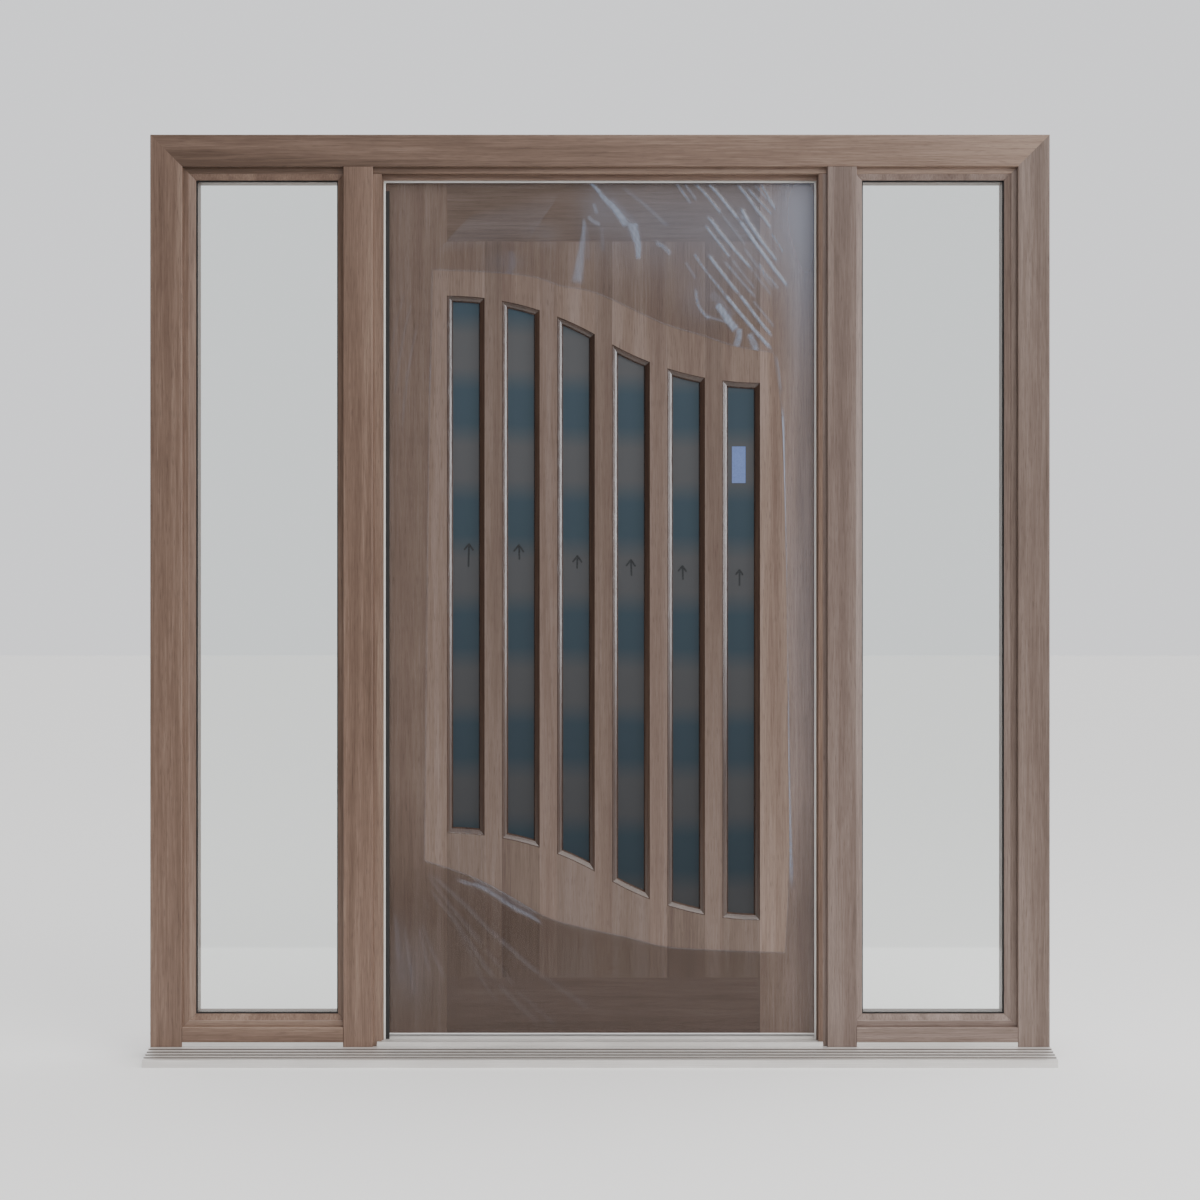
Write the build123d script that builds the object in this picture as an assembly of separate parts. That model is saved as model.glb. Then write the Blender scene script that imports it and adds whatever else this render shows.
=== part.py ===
from build123d import *
import os
from math import sqrt

# Hardwood door frame with one glazed door leaf and a fixed sidelight on each side.
# Millimetres. X runs along the wall, Y goes into the building and Z is up.
# The origin is at the foot of the left post's outer side, half way through the frame's depth.
# Depths named "front" or "back" are counted from the frame's front plane into the building.

# Frame members
frame_width = 2130
frame_depth = 95
face_width = 76
moulding_width = 15
moulding_set_back = 12
arris_radius = 2.5
glazing_lip = 14
mullion_width = 80
mullion_quirk = 10

# Fixed glazing of the sidelights
pane_thickness = 4
unit_cavity = 16
bead_thickness = 12
bead_width = 14
bead_bevel = 6
gasket_thickness = 2
gasket_show = 3
gasket_seat = 4
pane_edge_gap = 3
mitre_gap = 0.3
spacer_width = 8

# Foot of the frame
base_height = 11
rail_face_height = 35
sill_projection = 98
sill_drop = 30
sill_wall = 3
sill_bed = 4
sill_steps = 5
step_fall = 2.8
tread_fall = 0.4
tread_crown = 0.7
threshold_wall = 2.5
threshold_nose_steps = 2
threshold_nose_rise = 3.5
threshold_nose_tread = 2
threshold_grooves = 4
threshold_groove_width = 2
threshold_groove_depth = 1
threshold_upstand = 5
threshold_upstand_step = 1.5
threshold_upstand_lead = 3

# Door leaf
leaf_width = 1045
leaf_height = 2040
leaf_thickness = 44
leaf_bottom = 24
hinge_gap = 5
lock_gap = 6.5
top_gap = 5
top_rail_height = 150
bottom_rail_height = 132
slot_count = 6
slot_width = 90
slot_pitch = 131.6
slot_length = 1284
slot_rise = 104
slot_centre_height = 1015
slot_shift = 7.6

# Glazing of the leaf
leaf_pane_thickness = 4
leaf_cavity = 10
leaf_pane_gap = 1
leaf_spacer_width = 6
slot_bead_insets = (1, 1.5, 6.5, 11, 14)
slot_bead_falls = (0, 0.12, 0.31, 0.54, 1)

# Stops and seals
stop_gap = 5
side_stop_show = 13
top_stop_show = 12
stop_front_set_back = 18
stop_chamfer = 3
seal_width = 4
seal_depth = 6
latch_seal_width = 9
latch_seal_thickness = 4
latch_seal_top_gap = 36
bottom_seal_height = 2.5
bottom_seal_thickness = 8

# Butt hinges
hinge_heights = (250, 1020, 1860)
hinge_height = 100
hinge_plate_width = 34
hinge_plate_thickness = 2
knuckle_count = 5
knuckle_radius = 6.5
knuckle_gap = 0.4
pin_radius = 3
pin_clearance = 0.06
pin_cap_radius = 5
pin_cap_height = 3
plate_knuckle_clearance = 0.5

# Places worked out from the sizes above
centre_x = frame_width / 2
front_y = -frame_depth / 2
leaf_top = leaf_bottom + leaf_height
door_head = leaf_top + top_gap
opening_half = (leaf_width + hinge_gap + lock_gap) / 2
mullion_outer = opening_half + mullion_width
member_width = face_width + moulding_width
frame_height = door_head + member_width
light_outer = frame_width / 2 - member_width
light_top = frame_height - member_width
rail_top = base_height + rail_face_height
light_bottom = rail_top + moulding_width
unit_thickness = 2 * pane_thickness + unit_cavity
bead_front = moulding_set_back + 2
bead_back = bead_front + bead_thickness
glass_front = bead_back + gasket_thickness
glass_back = glass_front + unit_thickness
leaf_front = frame_depth - leaf_thickness
stop_back = leaf_front - stop_gap
leaf_left = centre_x - opening_half + lock_gap
leaf_right = leaf_left + leaf_width
slot_centre_x = (leaf_left + leaf_right) / 2 + slot_shift
slot_centre_z = leaf_bottom + slot_centre_height
field_half = (slot_count - 1) * slot_pitch / 2 + slot_width / 2
ogee_radius = (field_half**2 + slot_rise**2) / (2 * slot_rise)
leaf_unit = 2 * leaf_pane_thickness + leaf_cavity
slot_bead_depth = (leaf_thickness - leaf_unit) / 2
pin_x = centre_x + opening_half - hinge_gap / 2
pin_y = front_y + frame_depth + knuckle_radius


def block(x_low, x_high, front, back, z_low, z_high):
    """A square-edged piece between two places on each axis."""
    size = (x_high - x_low, back - front, z_high - z_low)
    return Pos(x_low, front_y + front, z_low) * Box(*size, align=(Align.MIN, Align.MIN, Align.MIN))


def mirrored(shape):
    """The same piece on the other side of the frame's centre line."""
    return mirror(shape, about=Plane((centre_x, 0, 0), z_dir=(1, 0, 0)))


def member_section(lip):
    """Section of a post or the head: across it from its outer side, and through its depth."""
    inner = member_width + (glazing_lip if lip else 0)
    points = [
        (0, 0),
        (face_width, 0),
        (face_width, moulding_set_back),
        (member_width, moulding_set_back),
        (member_width, glass_back),
        (inner, glass_back),
        (inner, frame_depth),
        (0, frame_depth),
    ]
    if not lip:
        points = points[:4] + [(member_width, frame_depth), (0, frame_depth)]
    section = make_face(Polyline(*points, close=True))
    edges_to_round = [(0, 0), (face_width, 0), (member_width, moulding_set_back)]
    corners = [
        v for v in section.vertices() if any(abs(v.X - x) + abs(v.Y - y) < 0.01 for x, y in edges_to_round)
    ]
    return fillet(corners, arris_radius)


def mitred(points):
    """A slab as deep as the frame with the given outline on the wall's plane."""
    plane = Plane((0, front_y - 1, 0), x_dir=(1, 0, 0), z_dir=(0, -1, 0))
    return extrude(plane * make_face(Polyline(*points, close=True)), -(frame_depth + 2))


def make_post():
    """Left post, mitred at the top; its moulding and glazing lip stop in a mitre on the bottom rail."""
    bar = extrude(Pos(0, front_y, 0) * member_section(True), frame_height)
    wide = member_width + glazing_lip
    lip_foot = light_bottom + glazing_lip
    outline = [
        (0, 0),
        (face_width, 0),
        (face_width, rail_top),
        (wide, lip_foot),
        (wide, frame_height - wide),
        (0, frame_height),
    ]
    return bar & mitred(outline)


def head_outline():
    """Outline of the head and its glazing lips between their two mitres."""
    wide = member_width + glazing_lip
    low = frame_height - wide
    return [(0, frame_height), (frame_width, frame_height), (frame_width - wide, low), (wide, low)]


def make_head():
    """Head over all three bays, mitred at both ends."""
    plane = Plane((0, front_y, frame_height), x_dir=(0, 0, -1), z_dir=(1, 0, 0))
    bar = extrude(plane * member_section(False), frame_width)
    return bar & mitred(head_outline())


def make_head_lips():
    """Fillets planted under the head, which the tops of the two sidelight glasses rest against."""
    near = centre_x + mullion_outer
    far = centre_x + light_outer
    low = light_top - glazing_lip
    outline = [(near, light_top), (near + glazing_lip, low), (far - glazing_lip, low), (far, light_top)]
    lip = mitred(outline) & block(near, far, glass_back, frame_depth, low, light_top)
    return Compound(children=[lip.solid(), mirrored(lip).solid()])


def make_mullion():
    """Right mullion: rebated for the door on one side and for the sidelight glass on the other."""
    inner = centre_x + opening_half
    outer = centre_x + mullion_outer
    points = [
        (inner + mullion_quirk, 0),
        (outer, 0),
        (outer, glass_back),
        (outer + glazing_lip, glass_back),
        (outer + glazing_lip, frame_depth),
        (inner, frame_depth),
        (inner, moulding_set_back),
        (inner + mullion_quirk, moulding_set_back),
    ]
    section = make_face(Polyline(*points, close=True))
    corners = [v for v in section.vertices() if v.Y < 0.01]
    section = fillet(corners, arris_radius)
    post = extrude(Pos(0, front_y, 0) * section, light_top)
    lip = outer + glazing_lip
    outline = [
        (inner, 0),
        (outer, 0),
        (outer, light_bottom),
        (lip, light_bottom + glazing_lip),
        (lip, light_top - glazing_lip),
        (outer, light_top),
        (inner, light_top),
    ]
    tenon = block(inner + mullion_quirk, outer, 0, moulding_set_back, light_top, light_top + moulding_width)
    tenon = fillet(tenon.edges().filter_by(Axis.Z).group_by(Axis.Y)[0], arris_radius)
    return (post & mitred(outline)) + tenon


def make_bottom_rail():
    """Right sidelight's bottom rail, its moulding and lip mitred to those of the post and mullion."""
    near = centre_x + mullion_outer
    far = centre_x + light_outer
    post_face = far + moulding_width
    face = block(near, post_face, 0, moulding_set_back, base_height, rail_top)
    face = fillet(face.edges().filter_by(Axis.X).group_by(Axis.Y)[0].group_by(Axis.Z)[-1], arris_radius)
    body = block(near, post_face, moulding_set_back, glass_back, base_height, light_bottom)
    body = fillet(body.edges().filter_by(Axis.X).group_by(Axis.Y)[0].group_by(Axis.Z)[-1], arris_radius)
    low = [(near, base_height), (post_face, base_height), (post_face, rail_top)]
    body &= mitred(low + [(far, light_bottom), (near, light_bottom)])
    lip_top = light_bottom + glazing_lip
    lip = block(near, post_face, glass_back, frame_depth, base_height, lip_top)
    lip &= mitred(low + [(far - glazing_lip, lip_top), (near + glazing_lip, lip_top), (near, light_bottom)])
    return face + body + lip


def make_base_strip():
    """Aluminium packing under the right sidelight's bottom rail."""
    near = centre_x + mullion_outer
    return block(near, centre_x + light_outer + moulding_width, 0, frame_depth, 0, base_height)


def sill_section():
    """Section of the extruded sill, with its crowned steps: through the depth, and up."""
    tread = sill_projection / sill_steps
    edges = []
    point = (0, 0)
    for step in range(sill_steps):
        nose = (-(step + 1) * tread, -step * step_fall - tread_fall)
        crown = ((point[0] + nose[0]) / 2, (point[1] + nose[1]) / 2 + tread_crown)
        foot = (nose[0], -(step + 1) * step_fall)
        edges.append(ThreePointArc(point, crown, nose))
        if step < sill_steps - 1:
            edges.append(Line(nose, foot))
        point = foot
    mid_leg = (frame_depth - sill_wall) / 2
    rest = [
        nose,
        (-sill_projection, -sill_drop),
        (-sill_projection + sill_wall, -sill_drop),
        (-sill_projection + sill_wall, nose[1] - sill_wall),
        (0, -sill_bed - sill_wall / 2),
        (0, -sill_drop),
        (sill_wall, -sill_drop),
        (sill_wall, -sill_bed),
        (mid_leg, -sill_bed),
        (mid_leg, -sill_drop),
        (mid_leg + sill_wall, -sill_drop),
        (mid_leg + sill_wall, -sill_bed),
        (frame_depth - sill_wall, -sill_bed),
        (frame_depth - sill_wall, -sill_drop),
        (frame_depth, -sill_drop),
        (frame_depth, 0),
        (0, 0),
    ]
    edges += [Line(rest[i], rest[i + 1]) for i in range(len(rest) - 1)]
    return make_face(edges)


def make_sill():
    """Ribbed aluminium sill as long as the frame is wide, falling to its front edge."""
    plane = Plane((0, front_y, 0), x_dir=(0, 1, 0), z_dir=(1, 0, 0))
    return extrude(plane * sill_section(), frame_width)


def threshold_section():
    """Section of the threshold: stepped nose, grooved tread and the upstand under the leaf."""
    nose = threshold_nose_steps * threshold_nose_tread
    upstand = leaf_front - threshold_upstand_lead
    top = base_height + threshold_upstand
    middle = base_height + threshold_upstand / 2
    inner_nose = nose + threshold_wall
    inner_upstand = upstand + threshold_upstand_step + threshold_wall
    inner_back = frame_depth - threshold_wall
    points = [(0, 0)]
    for step in range(threshold_nose_steps):
        height = (step + 1) * threshold_nose_rise
        points += [(step * threshold_nose_tread, height), ((step + 1) * threshold_nose_tread, height)]
    points.append((nose, base_height))
    groove_pitch = (upstand - nose) / (threshold_grooves + 1)
    for groove in range(threshold_grooves):
        start = nose + (groove + 1) * groove_pitch - threshold_groove_width / 2
        end = start + threshold_groove_width
        floor = base_height - threshold_groove_depth
        points += [(start, base_height), (start, floor), (end, floor), (end, base_height)]
    points += [
        (upstand, base_height),
        (upstand, middle),
        (upstand + threshold_upstand_step, middle),
        (upstand + threshold_upstand_step, top),
        (frame_depth, top),
        (frame_depth, 0),
        (inner_back, 0),
        (inner_back, top - threshold_wall),
        (inner_upstand, top - threshold_wall),
        (inner_upstand, base_height - threshold_wall),
        (inner_nose, base_height - threshold_wall),
        (inner_nose, 0),
    ]
    return make_face(Polyline(*points, close=True))


def make_threshold():
    """Low aluminium threshold between the mullions, hollow underneath."""
    start = centre_x - opening_half
    plane = Plane((start, front_y, 0), x_dir=(0, 1, 0), z_dir=(1, 0, 0))
    return extrude(plane * threshold_section(), 2 * opening_half)


def make_side_stop():
    """Right planted stop, which the closed leaf faces across its gap."""
    inner = centre_x + opening_half - side_stop_show
    outer = centre_x + opening_half
    points = [
        (inner + stop_chamfer, moulding_set_back),
        (outer, moulding_set_back),
        (outer, stop_back),
        (inner, stop_back),
        (inner, moulding_set_back + stop_front_set_back),
        (inner + stop_chamfer, moulding_set_back + stop_front_set_back),
    ]
    section = make_face(Polyline(*points, close=True))
    return extrude(Pos(0, front_y, base_height) * section, door_head - base_height)


def make_top_stop():
    """Planted stop under the head, between the side stops."""
    half = opening_half - side_stop_show
    front = moulding_set_back + stop_front_set_back
    return block(centre_x - half, centre_x + half, front, stop_back, door_head - top_stop_show, door_head)


def make_door_seal():
    """Pale seal round the inner edge of the stops, on both sides and the top."""
    half = opening_half - side_stop_show
    top = door_head - top_stop_show
    outer = block(centre_x - half, centre_x + half, stop_back - seal_depth, stop_back, base_height, top)
    inner_half = half - seal_width
    front = stop_back - seal_depth - 1
    inner = block(centre_x - inner_half, centre_x + inner_half, front, stop_back + 1, 0, top - seal_width)
    return outer - inner


def make_latch_seal():
    """Flat rubber flap beside the seal on the lock side."""
    edge = centre_x - opening_half + side_stop_show + seal_width
    front = stop_back - latch_seal_thickness
    top = door_head - latch_seal_top_gap
    return block(edge, edge + latch_seal_width, front, stop_back, base_height, top)


def bead_bar(length):
    """One glazing bead lying along X, outer edge at Z = 0, with mitred ends."""
    section = [
        (0, bead_front),
        (bead_width, bead_front + bead_bevel),
        (bead_width, bead_back),
        (0, bead_back),
    ]
    plane = Plane((-length / 2, front_y, 0), x_dir=(0, 0, 1), z_dir=(1, 0, 0))
    bar = extrude(plane * make_face(Polyline(*[(z, -d) for z, d in section], close=True)), length)
    half = length / 2 - mitre_gap
    outline = [(-half, 0), (half, 0), (half - bead_width, bead_width), (-half + bead_width, bead_width)]
    return bar & mitred(outline)


def sidelight_opening():
    """The right sidelight's clear opening in the frame: low X, high X, low Z and high Z."""
    return centre_x + mullion_outer, centre_x + light_outer, light_bottom, light_top


def make_beads():
    """The four mitred beads in front of the right sidelight's glass."""
    x_low, x_high, z_low, z_high = sidelight_opening()
    x_mid = (x_low + x_high) / 2
    z_mid = (z_low + z_high) / 2
    bars = [
        Pos(x_mid, 0, z_low) * bead_bar(x_high - x_low),
        Pos(x_mid, 0, z_high) * Rot(0, 180, 0) * bead_bar(x_high - x_low),
        Pos(x_low, 0, z_mid) * Rot(0, 90, 0) * bead_bar(z_high - z_low),
        Pos(x_high, 0, z_mid) * Rot(0, -90, 0) * bead_bar(z_high - z_low),
    ]
    return Compound(children=[bar.solid() for bar in bars])


def ring(margin_out, margin_in, front, back):
    """A rectangular ring in the right sidelight, between two margins from the opening's edge."""
    x_low, x_high, z_low, z_high = sidelight_opening()
    outside = block(
        x_low + margin_out, x_high - margin_out, front, back, z_low + margin_out, z_high - margin_out
    )
    inside = block(
        x_low + margin_in, x_high - margin_in, front - 1, back + 1, z_low + margin_in, z_high - margin_in
    )
    return outside - inside


def make_gasket():
    """Black gasket between the beads and the glass, a little wider than the beads."""
    return ring(bead_width - gasket_seat, bead_width + gasket_show, bead_back, glass_front)


def make_panes():
    """Outer and inner pane of the right sidelight's sealed unit."""
    x_low, x_high, z_low, z_high = sidelight_opening()
    gap = pane_edge_gap
    panes = []
    for front in (glass_front, glass_back - pane_thickness):
        pane = block(x_low + gap, x_high - gap, front, front + pane_thickness, z_low + gap, z_high - gap)
        panes.append(pane.solid())
    return Compound(children=panes)


def make_spacer():
    """Spacer bar between the two panes of the right sidelight."""
    front = glass_front + pane_thickness
    return ring(pane_edge_gap, pane_edge_gap + spacer_width, front, front + unit_cavity)


def ogee(across, lift=0.0):
    """Height of the slot ends' ogee at a distance from the leaf's middle, moved out by lift."""
    crest = slot_rise - ogee_radius
    if across < 0:
        return crest + sqrt((ogee_radius + lift) ** 2 - (across + field_half) ** 2)
    return -crest - sqrt((ogee_radius - lift) ** 2 - (field_half - across) ** 2)


def slot_side(index):
    """Left edge of a slot, counted from the middle of the slots."""
    return -field_half + index * slot_pitch


def arc_points(left, right, lift, base):
    """Three points of a slot end's arc, from left to right."""
    return [(x, base + ogee(x, lift)) for x in (left, (left + right) / 2, right)]


def leaf_plane(front):
    """Plane across the leaf at a depth, centred on the slots, with its normal to the outside."""
    return Plane((slot_centre_x, front_y + front, slot_centre_z), x_dir=(1, 0, 0), z_dir=(0, -1, 0))


def slot_outline(index, inset):
    """Face of one slot, its straight sides and ogee ends moved in by inset."""
    left = slot_side(index) + inset
    right = slot_side(index) + slot_width - inset
    top = arc_points(left, right, -inset, slot_length / 2)
    bottom = arc_points(left, right, inset, -slot_length / 2)
    edges = [
        ThreePointArc(*top),
        Line(top[2], bottom[2]),
        ThreePointArc(*bottom[::-1]),
        Line(bottom[0], top[0]),
    ]
    return make_face(edges)


def slot_prism(index, inset, front, back):
    """Solid that fills one slot between two depths."""
    return extrude(leaf_plane(front) * slot_outline(index, inset), -(back - front))


def slots_compound(make_one):
    """One solid for each slot, as like pieces that don't touch."""
    return Compound(children=[make_one(index).solid() for index in range(slot_count)])


def make_slot_bead(index, outside):
    """Moulded bead round one slot, on the outer or inner side of the glass."""
    front = leaf_front if outside else leaf_front + leaf_thickness - slot_bead_depth
    back = front + slot_bead_depth
    face, inward = (front, 1) if outside else (back, -1)
    outlines = [
        leaf_plane(face + inward * fall * slot_bead_depth) * slot_outline(index, inset)
        for inset, fall in zip(slot_bead_insets, slot_bead_falls)
    ]
    bead = slot_prism(index, 0, front, back)
    for near, far in zip(outlines, outlines[1:]):
        bead -= loft([near, far], ruled=True)
    return bead


def make_leaf_pane(index, front):
    """One pane of a slot's sealed unit."""
    return slot_prism(index, leaf_pane_gap, front, front + leaf_pane_thickness)


def make_leaf_spacer(index):
    """Spacer between the two panes of a slot."""
    front = leaf_front + slot_bead_depth + leaf_pane_thickness
    outer = slot_prism(index, leaf_pane_gap, front, front + leaf_cavity)
    inner = slot_prism(index, leaf_pane_gap + leaf_spacer_width, front - 1, front + leaf_cavity + 1)
    return outer - inner


def leaf_block(x_low, x_high, z_low, z_high):
    """A piece as thick as the leaf."""
    return block(x_low, x_high, leaf_front, frame_depth, z_low, z_high)


def make_muntin(index):
    """Upright bar between two slots, from the bottom rail to the top rail."""
    left = slot_centre_x + slot_side(index) + slot_width
    right = slot_centre_x + slot_side(index + 1)
    return leaf_block(left, right, leaf_bottom + bottom_rail_height, leaf_top - top_rail_height)


def make_stave(index, upper):
    """Filling piece above or below one slot, cut to the slot's ogee end."""
    left = slot_side(index)
    right = left + slot_width
    base = slot_length / 2 if upper else -slot_length / 2
    far = leaf_top - top_rail_height if upper else leaf_bottom + bottom_rail_height
    far -= slot_centre_z
    arc = arc_points(left, right, 0, base)
    edges = [
        ThreePointArc(*arc),
        Line(arc[2], (right, far)),
        Line((right, far), (left, far)),
        Line((left, far), arc[0]),
    ]
    return extrude(leaf_plane(leaf_front) * make_face(edges), -leaf_thickness)


def make_bottom_seal():
    """Strip that closes the gap between the leaf's foot and the threshold."""
    side = side_stop_show
    top = leaf_bottom
    back = leaf_front + bottom_seal_thickness
    return block(leaf_left + side, leaf_right - side, leaf_front, back, top - bottom_seal_height, top)


def knuckle(index, radius):
    """One knuckle of a hinge that stands on Z = 0, round the pin's axis."""
    length = hinge_height / knuckle_count
    low = index * length + (knuckle_gap / 2 if index else 0)
    high = (index + 1) * length - (knuckle_gap / 2 if index < knuckle_count - 1 else 0)
    return Pos(0, 0, low) * Cylinder(radius, high - low, align=(Align.CENTER, Align.CENTER, Align.MIN))


def hinge_plate(side, own_knuckles):
    """Flat plate and knuckles of one half; side is 1 for the frame and -1 for the door."""
    near = hinge_gap / 2 - hinge_plate_thickness
    plate_top = -knuckle_radius - plate_knuckle_clearance
    x_mid = side * (near + hinge_plate_thickness / 2)
    plate_size = (hinge_plate_thickness, hinge_plate_width, hinge_height)
    half = Pos(x_mid, plate_top, 0) * Box(*plate_size, align=(Align.CENTER, Align.MAX, Align.MIN))
    tab_low = plate_top - hinge_plate_thickness
    tab_high = -pin_radius - 1
    for index in own_knuckles:
        body = knuckle(index, knuckle_radius)
        box = body.bounding_box()
        tab_size = (hinge_plate_thickness, tab_high - tab_low, box.size.Z)
        tab = Pos(x_mid, tab_low, box.min.Z) * Box(*tab_size, align=(Align.CENTER, Align.MIN, Align.MIN))
        half += body + tab
    return half


def make_frame_hinge():
    """Frame half of a hinge, which holds the pin."""
    half = hinge_plate(1, range(0, knuckle_count, 2))
    half += Cylinder(pin_radius, hinge_height, align=(Align.CENTER, Align.CENTER, Align.MIN))
    cap = Cylinder(pin_cap_radius, pin_cap_height, align=(Align.CENTER, Align.CENTER, Align.MIN))
    return half + Pos(0, 0, hinge_height) * cap + Pos(0, 0, -pin_cap_height) * cap


def make_door_hinge():
    """Door half of a hinge, whose knuckles turn on the pin."""
    bore = Cylinder(pin_radius + pin_clearance, hinge_height, align=(Align.CENTER, Align.CENTER, Align.MIN))
    return hinge_plate(-1, range(1, knuckle_count, 2)) - bore


def hinges_compound(half):
    """The same hinge half at each hinge height."""
    places = [Pos(pin_x, pin_y, height - hinge_height / 2) for height in hinge_heights]
    return Compound(children=[(place * half).solid() for place in places])


def stile_edges():
    """Inner edges of the two stiles, which are the outer slots' outer edges."""
    return slot_centre_x - field_half, slot_centre_x + field_half


def leaf_pieces():
    """All the pieces that swing with the door."""
    lock_edge, hinge_edge = stile_edges()
    pieces = {
        "lock_stile": leaf_block(leaf_left, lock_edge, leaf_bottom, leaf_top),
        "hinge_stile": leaf_block(hinge_edge, leaf_right, leaf_bottom, leaf_top),
        "top_rail": leaf_block(lock_edge, hinge_edge, leaf_top - top_rail_height, leaf_top),
        "bottom_rail": leaf_block(lock_edge, hinge_edge, leaf_bottom, leaf_bottom + bottom_rail_height),
        "upper_staves": slots_compound(lambda index: make_stave(index, True)),
        "lower_staves": slots_compound(lambda index: make_stave(index, False)),
        "outer_slot_beads": slots_compound(lambda index: make_slot_bead(index, True)),
        "inner_slot_beads": slots_compound(lambda index: make_slot_bead(index, False)),
        "leaf_spacers": slots_compound(make_leaf_spacer),
        "bottom_seal": make_bottom_seal(),
        "door_hinge_plates": hinges_compound(make_door_hinge()),
    }
    outer_front = leaf_front + slot_bead_depth
    inner_front = outer_front + leaf_unit - leaf_pane_thickness
    pieces["leaf_outer_panes"] = slots_compound(lambda index: make_leaf_pane(index, outer_front))
    pieces["leaf_inner_panes"] = slots_compound(lambda index: make_leaf_pane(index, inner_front))
    for index in range(slot_count - 1):
        pieces[f"muntin_{index + 1}"] = make_muntin(index)
    return pieces


def frame_pieces():
    """All the pieces that stay still."""
    pieces = {
        "left_post": make_post(),
        "head": make_head(),
        "head_lips": make_head_lips(),
        "right_mullion": make_mullion(),
        "sill": make_sill(),
        "threshold": make_threshold(),
        "right_stop": make_side_stop(),
        "top_stop": make_top_stop(),
        "door_seal": make_door_seal(),
        "latch_seal": make_latch_seal(),
        "right_bottom_rail": make_bottom_rail(),
        "right_base_strip": make_base_strip(),
        "right_beads": make_beads(),
        "right_gasket": make_gasket(),
        "right_panes": make_panes(),
        "right_spacer": make_spacer(),
        "frame_hinge_plates": hinges_compound(make_frame_hinge()),
    }
    pieces["right_post"] = mirrored(pieces["left_post"])
    for name in ("mullion", "stop", "bottom_rail", "base_strip", "beads", "gasket", "panes", "spacer"):
        pieces["left_" + name] = mirrored(pieces["right_" + name])
    return pieces


os.makedirs("parts", exist_ok=True)
for node, shape in {**frame_pieces(), **leaf_pieces()}.items():
    export_step(shape, f"parts/{node}.step")
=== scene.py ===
from math import cos, pi, radians, sin

import bpy
import numpy as np
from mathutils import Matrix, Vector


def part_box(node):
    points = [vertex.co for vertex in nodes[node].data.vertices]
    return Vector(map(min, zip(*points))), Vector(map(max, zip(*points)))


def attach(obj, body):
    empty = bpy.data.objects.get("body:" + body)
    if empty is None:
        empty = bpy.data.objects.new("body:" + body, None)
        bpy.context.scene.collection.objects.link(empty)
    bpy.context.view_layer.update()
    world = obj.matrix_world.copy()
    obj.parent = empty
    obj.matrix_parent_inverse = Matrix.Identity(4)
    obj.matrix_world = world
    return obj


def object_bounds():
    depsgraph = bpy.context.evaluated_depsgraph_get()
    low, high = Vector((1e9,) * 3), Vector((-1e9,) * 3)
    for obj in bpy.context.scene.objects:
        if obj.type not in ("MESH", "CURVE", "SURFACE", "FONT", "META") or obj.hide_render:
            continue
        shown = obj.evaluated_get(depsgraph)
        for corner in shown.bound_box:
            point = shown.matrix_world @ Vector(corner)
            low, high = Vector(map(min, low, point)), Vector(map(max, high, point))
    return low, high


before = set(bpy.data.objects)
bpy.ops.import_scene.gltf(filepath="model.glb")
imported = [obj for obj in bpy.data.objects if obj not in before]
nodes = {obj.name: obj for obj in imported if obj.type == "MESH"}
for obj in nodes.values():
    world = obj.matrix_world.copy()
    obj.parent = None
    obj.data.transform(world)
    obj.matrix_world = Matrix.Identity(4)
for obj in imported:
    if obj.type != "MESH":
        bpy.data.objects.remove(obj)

cad_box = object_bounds()
centre_x = (cad_box[0][0] + cad_box[1][0]) / 2

# Frame members
# Posts, head, mullions, bottom rails and planted stops are planed oak, oiled to a satin finish.
# The posts and head meet in mitres, the mullions butt under the head, and the stops are pinned on.
MM = 0.001
# painted sheen: the members on the right side take a greyer, paler copy of the oak, standing in for the sky's
# sheen on that side
BROWN_OAK = ("#5E483A", "#7F6657", "#9C8473")
SHEEN_GREY_OAK = ("#604E44", "#826F65", "#9D8B82")
PORE = "#46342A"
# marks per metre across the grain, 38 mm, 3 mm and 0.9 mm apart, and the share of them along it
FIGURE, GROWTH_LINES, PORES = 26.0, 330.0, 1100.0
ALONG_GRAIN = 0.03
BOARD_SPREAD = 0.16


def linear(hex_colour):
    """An sRGB hex colour as linear RGBA."""
    channels = [int(hex_colour[i:i + 2], 16) / 255 for i in (1, 3, 5)]
    return tuple(c / 12.92 if c <= 0.04045 else ((c + 0.055) / 1.055) ** 2.4 for c in channels) + (1.0,)


def add(tree, kind, inputs=None, stops=(), **settings):
    """A new shader node with its settings; an input is a value or another node's output socket.

    stops are the places and hex colours along a colour ramp.
    """
    node = tree.nodes.new(kind)
    for name, value in settings.items():
        setattr(node, name, value)
    for name, value in (inputs or {}).items():
        if isinstance(value, bpy.types.NodeSocket):
            tree.links.new(value, node.inputs[name])
        else:
            node.inputs[name].default_value = value
    if stops:
        elements = node.color_ramp.elements
        for element, (place, colour) in zip(elements, (stops[0], stops[-1])):
            element.position, element.color = place, linear(colour)
        for place, colour in stops[1:-1]:
            elements.new(place).color = linear(colour)
    return node


def new_material(name):
    """An empty material: its tree, its shader and the coordinates of the frame, in metres."""
    material = bpy.data.materials.new(name)
    material.use_nodes = True
    tree = material.node_tree
    shader = next(n for n in tree.nodes if n.type == "BSDF_PRINCIPLED")
    coordinates = add(tree, "ShaderNodeTexCoord").outputs["Object"]
    return material, tree, shader, coordinates


def toned(colours, share):
    """The same wood, lighter or darker by a share."""
    return tuple(
        "#" + "".join(f"{min(255, round(int(colour[i:i + 2], 16) * share)):02X}" for i in (1, 3, 5))
        for colour in colours
    )


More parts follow.
